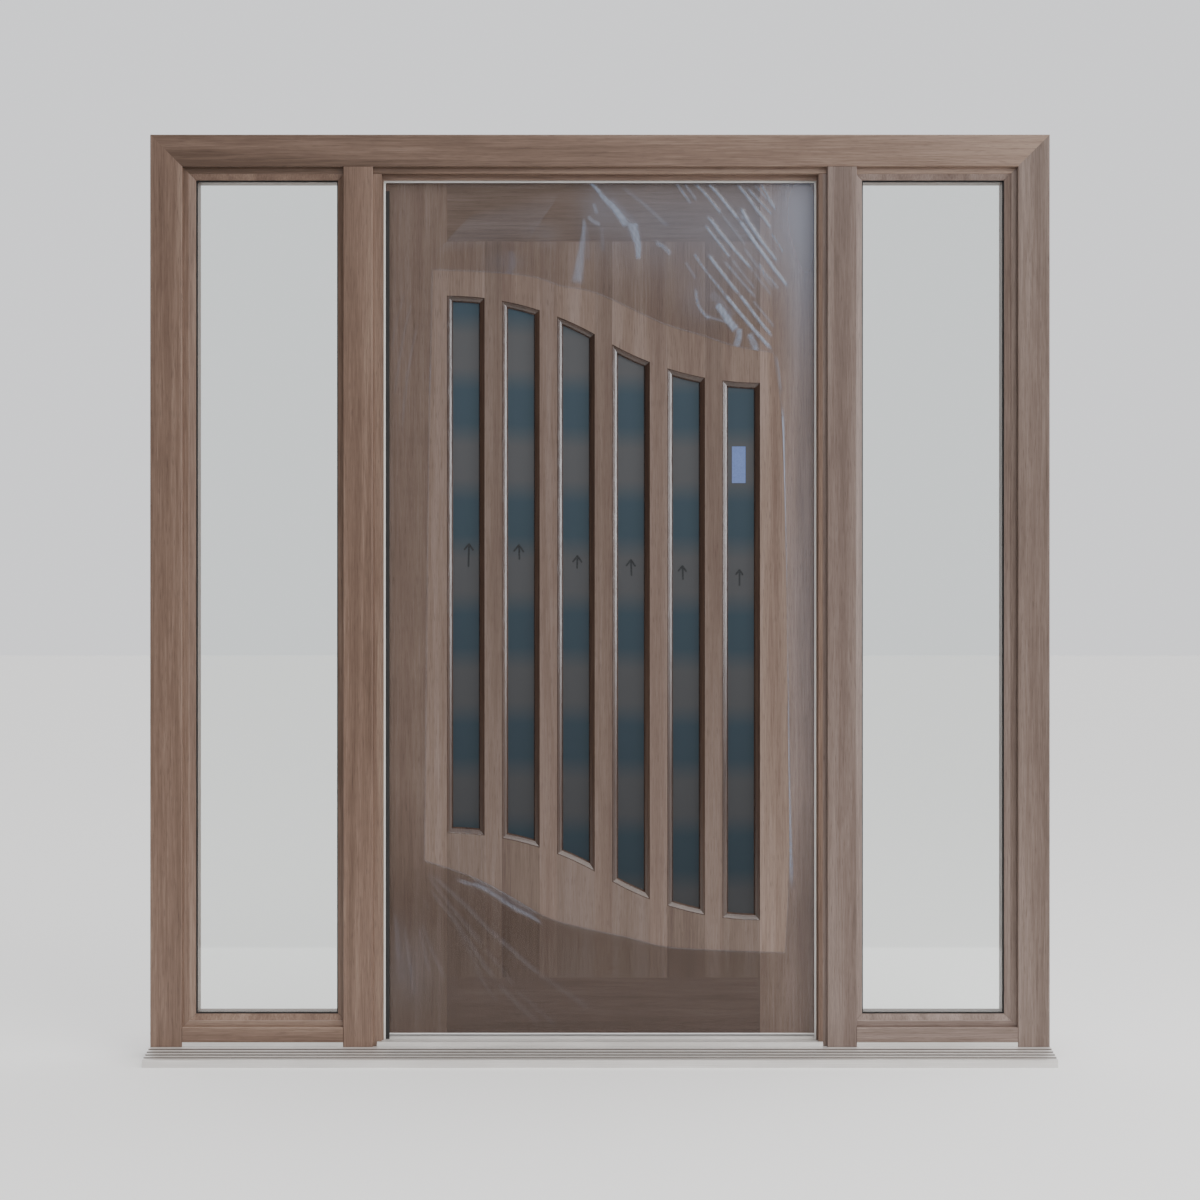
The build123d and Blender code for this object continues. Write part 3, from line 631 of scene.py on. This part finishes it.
# ridges: points in the photograph's pixels, then half width at each end and height in mm, and milkiness,
# partly painted highlight where a ridge catches the sky
RIDGES = [
    # the broad fold that falls from the head, and its pale wedge of painted highlight
    ([(590, 183), (595, 187), (600, 193)], 4, 6, 1.0, 0.75),
    ([(598, 190), (603, 197.5), (611, 204.5), (618, 213), (624, 221.5), (628, 228)], 6, 11, 0.5, 0.62),
    ([(633, 221), (633.5, 230), (636.5, 238), (638.5, 248), (638, 261)], 15, 6, 0.6, 0.66),
    ([(607, 200), (618, 209), (628, 220), (634, 226)], 16, 18, 0.3, 0.12),
    ([(583.5, 216), (584.5, 227), (581, 255), (576.5, 286)], 3, 16, 0.4, 0.42),
    ([(586, 222), (588, 240), (588, 262)], 3, 7, 0.3, 0.1),
    ([(593.5, 203), (595, 208), (597, 214)], 5, 5, 0.6, 0.3),
    ([(587.5, 216), (592.5, 221.5), (600.5, 225)], 5, 6, 0.6, 0.32),
    ([(602, 226), (603, 252)], 4, 6, 0.5, 0.12),
    # the straight ridges across the top corner on the hinge side
    ([(694, 183), (703, 191.5), (711, 201), (722, 215)], 3.8, 4.3, 1.4, 0.55),
    ([(722, 215), (737, 234), (746, 246)], 3.8, 3.4, 1, 0.24),
    ([(707, 183), (715, 190.5), (722, 199), (731, 210.5), (740, 221)], 3.8, 4.3, 1.8, 0.72),
    (
        [(737, 217), (749, 234), (758.5, 248), (767, 259), (775, 270.5), (783, 280), (789.5, 290)],
        4.8, 4.8, 2, 0.90,
    ),
    ([(739.5, 206), (748, 221), (756, 233), (763, 243.5), (771.5, 254), (779, 264)], 4.3, 4.3, 1.8, 0.75),
    ([(736, 183), (743, 191.5), (750, 200), (757, 210.5), (764.5, 219), (772.5, 231)], 4.3, 4.3, 1.8, 0.62),
    ([(746, 187), (756, 197.5), (765.5, 208), (773, 216)], 3.8, 3.8, 1, 0.45),
    ([(760, 183), (768, 196), (775.5, 209)], 3.8, 3.8, 1, 0.45),
    ([(754, 184), (762, 193), (771, 204), (777, 211)], 3.4, 3.4, 1, 0.39),
    ([(738, 212), (752, 229), (764, 246)], 3.4, 3.4, 0.8, 0.30),
    ([(770, 232), (776, 240), (784, 254)], 3.8, 3.8, 0.8, 0.33),
    (
        [(705, 215), (712.5, 222), (719.5, 232), (727, 241), (734, 249.5), (741, 257.5), (754.5, 272.5)],
        4.3, 3.8, 1.8, 0.70,
    ),
    ([(704, 224), (711, 233), (718, 242), (725.5, 252), (731, 259)], 3.8, 3.8, 1.5, 0.55),
    ([(754, 272), (762, 283), (772, 296)], 3.8, 3.4, 0.8, 0.27),
    ([(731, 259), (743, 274), (756, 290)], 3.8, 3.4, 0.8, 0.30),
    ([(758, 262), (765.5, 275), (772.5, 281), (779, 290)], 3.8, 3.8, 1.2, 0.45),
    ([(723, 260), (735, 274), (743, 283.5), (757, 299)], 3.8, 3.8, 0.8, 0.39),
    ([(743, 247), (754, 262), (764, 276), (774, 290)], 3.8, 3.8, 0.8, 0.30),
    ([(707, 253), (713.5, 262), (722, 273), (730, 283.5), (740, 295.5)], 4.8, 4.8, 1.8, 0.70),
    ([(738, 293), (749, 307), (758.5, 320), (765.5, 328.5), (773, 337.5)], 4.8, 4.3, 1.8, 0.74),
    (
        [(722, 292), (730, 301), (737, 309.5), (745.5, 320), (754, 330), (762, 339), (773, 351)],
        4.8, 4.8, 1.9, 0.85,
    ),
    ([(694, 253), (699, 262), (708, 274)], 4.8, 3.8, 1.2, 0.45),
    ([(707, 273), (717, 285), (725, 295)], 3.8, 4.3, 1, 0.45),
    ([(752, 300), (764, 314), (775, 328)], 3.4, 3.4, 0.8, 0.33),
    ([(676, 183), (691, 204)], 3.8, 3.8, 1, 0.45),
    ([(684, 183), (697, 201)], 3.8, 3.8, 1, 0.36),
    ([(695.5, 288), (697, 303.5), (702, 312), (710, 320)], 4.3, 4.8, 1.2, 0.45),
    ([(706, 316), (722, 321), (730, 322)], 3.8, 4.8, 1, 0.33),
    ([(716, 303), (724, 314), (730, 322.5), (737, 331)], 9, 11, 1.4, 0.8),
    ([(739.5, 328), (738.5, 340), (735.5, 347)], 9, 9, 1.2, 0.55),
    ([(749, 333), (754, 344), (756.5, 352)], 9, 10, 1.2, 0.5),
    ([(710, 292), (724, 306), (734, 318)], 12, 10, 0.6, 0.16),
    ([(620, 185), (632, 195), (644, 204), (658, 217.5), (670, 228)], 5, 6, 0.4, 0.16),
    ([(655, 242), (664, 247), (671, 255)], 6, 7, 1.2, 0.38),
    ([(685, 262), (696, 279)], 4, 4, 1, 0.25),
    ([(510, 250), (514, 262), (508, 276)], 9, 11, 0.5, 0.1),
    # the fan that spreads from the cut's lower corner on the lock side
    (
        [(425, 870), (440, 881.5), (456, 896.5), (470, 909), (486, 927), (508, 946), (530, 966.5), (547, 979)],
        5, 7, 0.5, 0.081,
    ),
    ([(540, 974), (563, 990), (591, 1009)], 7, 9, 0.4, 0.043),
    ([(425, 872), (437, 887), (449.5, 905), (462, 920), (473, 932.5), (484, 946)], 5, 7, 0.5, 0.056),
    (
        [(427.5, 885.5), (440, 902), (453.5, 918.5), (464.5, 935), (474, 949), (484, 964), (497, 981.5)],
        5, 7, 0.5, 0.062,
    ),
    ([(497, 981.5), (508, 994), (522, 1008), (539, 1023)], 7, 8, 0.4, 0.043),
    ([(473, 966), (481, 979), (489, 990), (498, 1002)], 4, 5, 0.4, 0.037),
    ([(455, 925), (466, 945), (478, 966), (486, 986)], 4, 5, 0.4, 0.037),
    ([(515, 990), (530, 1002), (544, 1014.5), (558, 1027)], 6, 7, 0.4, 0.037),
    ([(484, 946), (500, 966), (515, 986)], 6, 6, 0.4, 0.031),
    ([(425, 899), (429, 910)], 3, 4, 0.4, 0.043),
    ([(422, 921), (426, 935), (431.5, 950), (438.5, 964), (445, 980)], 4, 5, 0.5, 0.056),
    ([(419, 926), (423.5, 943), (426, 960), (431, 974)], 4, 5, 0.5, 0.056),
    ([(404, 922), (407, 946), (410, 966.5), (412.5, 982), (415.5, 999)], 4, 5, 0.5, 0.062),
    ([(394.5, 910), (397, 932), (399, 962)], 5, 7, 0.5, 0.062),
    ([(398, 914), (399, 948), (402, 985)], 12, 12, 0.2, 0.031),
    # the cut's lifted edge and its painted highlight, and the haze on its flap
    (
        [(453, 878.5), (467, 883), (481, 886), (499, 898), (515.5, 909), (530.5, 916), (545, 925)],
        4.5, 5, 1.0, 0.26,
    ),
    ([(470, 881), (485, 884), (503, 895), (520, 905), (540, 914)], 20, 20, 0.2, 0.1),
    # slack along the hinge stile, beside the cut, with its painted highlight
    ([(782, 404), (783, 455), (784, 520), (785, 600)], 5.2, 4.8, 1.2, 0.97),
    ([(785, 590), (786, 650), (787, 690)], 3.8, 3.8, 0.9, 0.6),
    ([(786.5, 680), (787.5, 760), (789.5, 820), (792, 893)], 6, 5, 0.6, 0.5),
    ([(776, 356), (779, 372), (781, 392)], 3, 3, 1.0, 0.3),
    # the lock stile's faint tucks
    ([(412, 300), (401, 345), (394, 400)], 4, 4, 1.0, 0.07),
    ([(418, 322), (407, 372), (402, 430)], 4, 4, 1.0, 0.07),
    ([(406, 290), (397, 318), (391, 352)], 3, 3, 0.8, 0.06),
    ([(431, 362), (430, 396)], 3, 3, 1.2, 0.17),
]
# milky patches: centre and half sizes in the photograph's pixels, and milkiness; they are partly painted
# sky sheen, and the long one over the hinge stile is painted light against the mullion's shadow
PATCHES = [
    (800, 200, 28, 60, 0.42),
    (808, 270, 22, 90, 0.36),
    (745, 235, 60, 60, 0.16),
    (700, 225, 90, 50, 0.12),
    (806, 560, 20, 330, 0.18),
    (600, 208, 18, 24, 0.14),
    (640, 222, 46, 40, 0.12),
    (545, 234, 16, 12, 0.08),
    (505, 262, 20, 12, 0.08),
    (700, 300, 20, 24, 0.10),
    (410, 970, 22, 36, 0.05),
]
# the fine hatching at the top of the lock side: first and last line's ends, and the number of lines
HATCH = ((436, 255), (476, 212), (520, 250), (560, 190), 18)
HATCH_HEIGHT, HATCH_WIDTH, HATCH_MILK_SHEEN = 0.8 * MM, 3 * MM, 0.10
# the mesh: strips along the top, right, bottom and left side, and rows from the leaf's edge to the cut
STRIPS = (340, 180, 300, 150)
ROWS_ACROSS = 88
leaf_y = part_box("lock_stile")[0][1]


def drawn(points):
    """A drawn line's points, from the photograph's pixels to (x, z) on the leaf's face."""
    return np.array([behind_pixel(x, y, leaf_y)[::2] for x, y in points])


def resampled(points, count):
    """count + 1 points, evenly spaced along a line."""
    steps = np.linalg.norm(np.diff(points, axis=0), axis=1)
    place = np.concatenate([[0], np.cumsum(steps)])
    wanted = np.linspace(0, place[-1], count + 1)
    return np.column_stack([np.interp(wanted, place, points[:, i]) for i in (0, 1)])


def smooth_line(points, passes=3):
    """The line with its corners cut off, its ends kept (Chaikin's corner cutting)."""
    for _ in range(passes):
        quarter = 0.75 * points[:-1] + 0.25 * points[1:]
        three_quarters = 0.25 * points[:-1] + 0.75 * points[1:]
        inner = np.empty((2 * len(quarter), 2))
        inner[0::2], inner[1::2] = quarter, three_quarters
        points = np.vstack([points[:1], inner[1:-1], points[-1:]])
    return points


def nearness(points, line):
    """Each point's distance to a line, and how far along the line it is, from 0 to 1."""
    lengths = np.linalg.norm(np.diff(line, axis=0), axis=1)
    before = np.concatenate([[0], np.cumsum(lengths)])
    best = np.full(len(points), np.inf)
    along = np.zeros(len(points))
    for start, end, length, so_far in zip(line[:-1], line[1:], lengths, before):
        t = np.clip(((points - start) @ (end - start)) / length**2, 0, 1)
        gap = np.linalg.norm(points - (start + t[:, None] * (end - start)), axis=1)
        closer = gap < best
        best[closer] = gap[closer]
        along[closer] = (so_far + t[closer] * length) / before[-1]
    return best, along


leaf_low = np.array([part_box("lock_stile")[0][0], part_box("lock_stile")[0][2]]) + FILM_MARGIN
leaf_high = np.array([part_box("hinge_stile")[1][0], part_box("hinge_stile")[1][2]]) - FILM_MARGIN
corners = [
    (leaf_low[0], leaf_high[1]),
    (leaf_high[0], leaf_high[1]),
    (leaf_high[0], leaf_low[1]),
    (leaf_low[0], leaf_low[1]),
]
outside, inside = [], []
for side, (count, cut) in enumerate(zip(STRIPS, (WINDOW_TOP, WINDOW_RIGHT, WINDOW_BOTTOM, WINDOW_LEFT))):
    straight = np.array([corners[side], corners[(side + 1) % 4]])
    outside.append(resampled(straight, count)[:-1])
    inside.append(resampled(smooth_line(drawn(cut)), count)[:-1])
outside, inside = np.vstack(outside), np.vstack(inside)
across = np.linspace(0, 1, ROWS_ACROSS + 1)
inward = across[None, :, None]
flat_points = (outside[:, None, :] * (1 - inward) + inside[:, None, :] * inward).reshape(-1, 2)
columns = len(outside)

x, z = flat_points[:, 0], flat_points[:, 1]
swells = np.sin(13 * x + 4 * z) + np.sin(9 * z - 7 * x + 1.3) + 0.5 * np.sin(31 * x - 23 * z + 0.7)
height = (0.25 * swells + 0.65) * SLACK_HEIGHT
# a ridge fades at its ends and is uneven along its crest
uneven = 0.8 + 0.2 * np.sin(170 * (x + z) + 40 * np.sin(21 * x)) * np.sin(230 * z)
clear = np.ones(len(flat_points))
# painted highlight, in part: each ridge whitens the film along its crest
for points, first_width, last_width, ridge_height, milk_sheen in RIDGES:
    line = smooth_line(drawn(points), 2)
    gap, along = nearness(flat_points, line)
    width = (first_width + (last_width - first_width) * along) * MM
    ends = np.clip(np.minimum(along, 1 - along) / 0.12, 0, 1)
    ends = ends * ends * (3 - 2 * ends)
    height = height + ridge_height * MM * uneven * ends * np.exp(-((gap / width) ** 2))
    clear *= 1 - milk_sheen * uneven * ends * np.exp(-((gap / (0.85 * width)) ** 4))
for patch_x, patch_y, half_x, half_y, milk_sheen in PATCHES:
    (x_middle, z_middle), (x_edge, z_edge) = drawn([(patch_x, patch_y), (patch_x + half_x, patch_y - half_y)])
    far = ((x - x_middle) / (x_edge - x_middle)) ** 2 + ((z - z_middle) / (z_edge - z_middle)) ** 2
    clear *= 1 - milk_sheen * np.exp(-far)
first_foot, first_top, last_foot, last_top, hatch_count = HATCH
for i in range(hatch_count):
    share = i / (hatch_count - 1)
    foot = tuple(a + share * (b - a) for a, b in zip(first_foot, last_foot))
    tip = tuple(a + share * (b - a) for a, b in zip(first_top, last_top))
    gap, along = nearness(flat_points, drawn([foot, tip]))
    ends = np.clip(np.minimum(along, 1 - along) / 0.3, 0, 1)
    shape = np.exp(-((gap / HATCH_WIDTH) ** 2)) * ends
    height = height + HATCH_HEIGHT * shape
    clear *= 1 - HATCH_MILK_SHEEN * shape
cut_gap, _ = nearness(flat_points, np.vstack([inside, inside[:1]]))
height = height + CUT_HEIGHT * np.exp(-((cut_gap / CUT_WIDTH) ** 2))
clear *= 1 - CUT_MILK_SHEEN * np.exp(-((cut_gap / CUT_SHEEN_WIDTH) ** 2))
milk_and_sheen = 1 - clear
edge_gap = np.minimum(flat_points - leaf_low, leaf_high - flat_points).min(axis=1)
height = height * np.clip(edge_gap / TIGHT_EDGE, 0.15, 1)

film_points = [
    (px, leaf_y - FILM_GAP - lift, pz) for (px, pz), lift in zip(flat_points.tolist(), height.tolist())
]
rows = ROWS_ACROSS + 1
film_faces = [
    (a * rows + r, a * rows + r + 1, b * rows + r + 1, b * rows + r)
    for a, b in ((c, (c + 1) % columns) for c in range(columns))
    for r in range(ROWS_ACROSS)
]
# polyethylene film: clear and slightly brown over the wood, its gloss broken by fine crinkles; where it
# is milky, a blue-white haze covers the wood as well, partly the film's own and partly painted sky sheen
film_material, film_tree, film_shader, film_place = new_material("shrink-wrap polyethylene film")
milk_sheen_map = add(film_tree, "ShaderNodeAttribute", attribute_name="milk_and_sheen").outputs["Fac"]
patches = add(film_tree, "ShaderNodeTexNoise", {"Vector": film_place, "Scale": 5.0, "Detail": 4.0})
crinkle = add(
    film_tree, "ShaderNodeTexNoise", {"Vector": film_place, "Scale": 70.0, "Detail": 4.0, "Roughness": 0.6}
)
clear_cover = add(
    film_tree,
    "ShaderNodeMapRange",
    {
        "Value": patches.outputs["Fac"],
        "From Min": 0.3,
        "From Max": 0.7,
        "To Min": CLEAR_LEAST,
        "To Max": CLEAR_MOST,
    },
).outputs["Result"]
film_axes = add(film_tree, "ShaderNodeSeparateXYZ", {"Vector": film_place}).outputs
hinge_stile_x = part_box("hinge_stile")[0][0]
# painted light: the film's cover fades over the hinge stile so the wood shows lighter in the mullion's shadow
hinge_stile_light = add(
    film_tree,
    "ShaderNodeMapRange",
    {
        "Value": film_axes["X"],
        "From Min": hinge_stile_x,
        "From Max": hinge_stile_x + STILE_FADE,
        "To Min": 1.0,
        "To Max": STILE_SHARE,
    },
).outputs["Result"]
side_cover = add(film_tree, "ShaderNodeMath", {0: clear_cover, 1: hinge_stile_light}, operation="MULTIPLY").outputs[0]
# painted shade: the film hides more of the wood towards the floor, so the leaf darkens at its foot
foot_shade_cover = add(
    film_tree,
    "ShaderNodeMapRange",
    {
        "Value": film_axes["Z"],
        "From Min": FOOT_LOW,
        "From Max": FOOT_HIGH,
        "To Min": FOOT_SHADE_COVER,
        "To Max": 0.0,
    },
).outputs["Result"]
film_cover = add(film_tree, "ShaderNodeMath", {0: side_cover, 1: foot_shade_cover}, operation="ADD").outputs[0]
# painted sheen, in part: the milky share lays a blue-white haze over the wood
sheen_haze = add(film_tree, "ShaderNodeMath", {0: milk_sheen_map, 1: MILK_SHEEN_COVER}, operation="MULTIPLY").outputs[0]
film_alpha = add(film_tree, "ShaderNodeMath", {0: film_cover, 1: sheen_haze}, operation="ADD").outputs[0]
sheen_haze_share = add(film_tree, "ShaderNodeMath", {0: sheen_haze, 1: film_alpha}, operation="DIVIDE").outputs[0]
film_colour = add(
    film_tree,
    "ShaderNodeMix",
    {"Factor": sheen_haze_share, "A": linear(FILM_CLEAR), "B": linear(FILM_MILK_SHEEN)},
    data_type="RGBA",
)
film_tree.links.new(film_colour.outputs["Result"], film_shader.inputs["Base Color"])
film_tree.links.new(film_alpha, film_shader.inputs["Alpha"])
film_bump = add(
    film_tree, "ShaderNodeBump", {"Height": crinkle.outputs["Fac"], "Strength": 0.12, "Distance": 1 * MM}
)
film_tree.links.new(film_bump.outputs["Normal"], film_shader.inputs["Normal"])
film_shader.inputs["Roughness"].default_value = 0.2
film_shader.inputs["IOR"].default_value = 1.5
film = add_piece("shrink_film", film_points, film_faces, film_material, "door")
film.data.attributes.new("milk_and_sheen", "FLOAT", "POINT").data.foreach_set("value", milk_and_sheen.astype(np.float32))
film.data.shade_smooth()


# Floor, light and camera
# A plain pale floor lies under the sill and ends in front, below the picture. The main soft light stands
# high on the right, like the window there, with a weak fill, a side light for the beads' shine and one
# overhead. The camera stands level, 5.5 m in front of the frame and at half its height.
WHITE_FLOOR = "#F4F3F1"
SKY = "#FBFCFF"
FLOOR_FRONT, FLOOR_REACH = 1.7, 40
# the sky's strength behind the door and in front of it, and its shares at the far right and far left
BEHIND, IN_FRONT, RIGHT_SHARE, LEFT_SHARE = 1.15, 0.34, 2.2, 0.2
# each soft light: azimuth and elevation in degrees, distance and size in metres, power in watts, colour
SOFT_LIGHTS = {
    "window light": (31, 39, 6.0, 3.4, 137, "#FFFBF6"),
    "front fill": (2, 44, 6.0, 4.0, 54, "#F6F8FF"),
    "tall side light": (67, 6, 6.0, 1.9, 125, "#F4F8FF"),
}
floor_z = cad_box[0][2]
floor_mesh = bpy.data.meshes.new("floor")
floor_mesh.from_pydata(
    [
        (-FLOOR_REACH, front_y - FLOOR_FRONT, floor_z),
        (FLOOR_REACH, front_y - FLOOR_FRONT, floor_z),
        (FLOOR_REACH, FLOOR_REACH, floor_z),
        (-FLOOR_REACH, FLOOR_REACH, floor_z),
    ],
    [],
    [(0, 1, 2, 3)],
)
floor = bpy.data.objects.new("floor", floor_mesh)
bpy.context.scene.collection.objects.link(floor)
floor_paint, _, floor_shader, _ = new_material("matt white floor")
floor_shader.inputs["Base Color"].default_value = linear(WHITE_FLOOR)
floor_shader.inputs["Roughness"].default_value = 0.9
floor_mesh.materials.append(floor_paint)

world = bpy.data.worlds.new("studio")
world.use_nodes = True
sky_tree = world.node_tree
background = next(n for n in sky_tree.nodes if n.type == "BACKGROUND")
direction = add(sky_tree, "ShaderNodeTexCoord").outputs["Generated"]
parts = add(sky_tree, "ShaderNodeSeparateXYZ", {"Vector": direction}).outputs
right_side = add(
    sky_tree,
    "ShaderNodeMapRange",
    {"Value": parts["X"], "From Min": 0.3, "From Max": 1.0, "To Min": 1.0, "To Max": RIGHT_SHARE},
).outputs["Result"]
left_side = add(
    sky_tree,
    "ShaderNodeMapRange",
    {"Value": parts["X"], "From Min": -1.0, "From Max": -0.3, "To Min": LEFT_SHARE, "To Max": 1.0},
).outputs["Result"]
depth_share = add(
    sky_tree,
    "ShaderNodeMapRange",
    {"Value": parts["Y"], "From Min": -0.3, "From Max": 0.5, "To Min": IN_FRONT, "To Max": BEHIND},
    interpolation_type="SMOOTHSTEP",
).outputs["Result"]
sides = add(sky_tree, "ShaderNodeMath", {0: right_side, 1: left_side}, operation="MULTIPLY").outputs[0]
brightness = add(sky_tree, "ShaderNodeMath", {0: sides, 1: depth_share}, operation="MULTIPLY")
background.inputs["Color"].default_value = linear(SKY)
sky_tree.links.new(brightness.outputs[0], background.inputs["Strength"])
bpy.context.scene.world = world


def soft_light(name, azimuth, elevation, distance, size, power, colour):
    """A square area light that faces the middle of the door; azimuth 0 is in front, 90 on the right."""
    light = bpy.data.lights.new(name, "AREA")
    light.shape = "SQUARE"
    light.size = size
    light.energy = power
    light.color = linear(colour)[:3]
    lamp = bpy.data.objects.new(name, light)
    turn, lift = radians(azimuth), radians(elevation)
    lamp.location = (
        centre_x + distance * sin(turn) * cos(lift),
        front_y - distance * cos(turn) * cos(lift),
        CAMERA_HEIGHT + distance * sin(lift),
    )
    lamp.rotation_euler = (pi / 2 - lift, 0, turn)
    lamp.visible_camera = False
    bpy.context.scene.collection.objects.link(lamp)


for name, settings in SOFT_LIGHTS.items():
    soft_light(name, *settings)

overhead = bpy.data.lights.new("overhead light", "SUN")
overhead.energy = 2.1
overhead.angle = radians(12)
overhead_lamp = bpy.data.objects.new("overhead light", overhead)
overhead_lamp.rotation_euler = (radians(3), 0, 0)
bpy.context.scene.collection.objects.link(overhead_lamp)

camera_data = bpy.data.cameras.new("camera")
camera_data.sensor_width = 36
camera_data.lens = FOCAL_PIXELS / FRAME_PIXELS * camera_data.sensor_width
camera = bpy.data.objects.new("camera", camera_data)
camera.location = (centre_x, front_y - CAMERA_DISTANCE, CAMERA_HEIGHT)
camera.rotation_euler = (pi / 2, 0, 0)
bpy.context.scene.collection.objects.link(camera)
bpy.context.scene.camera = camera
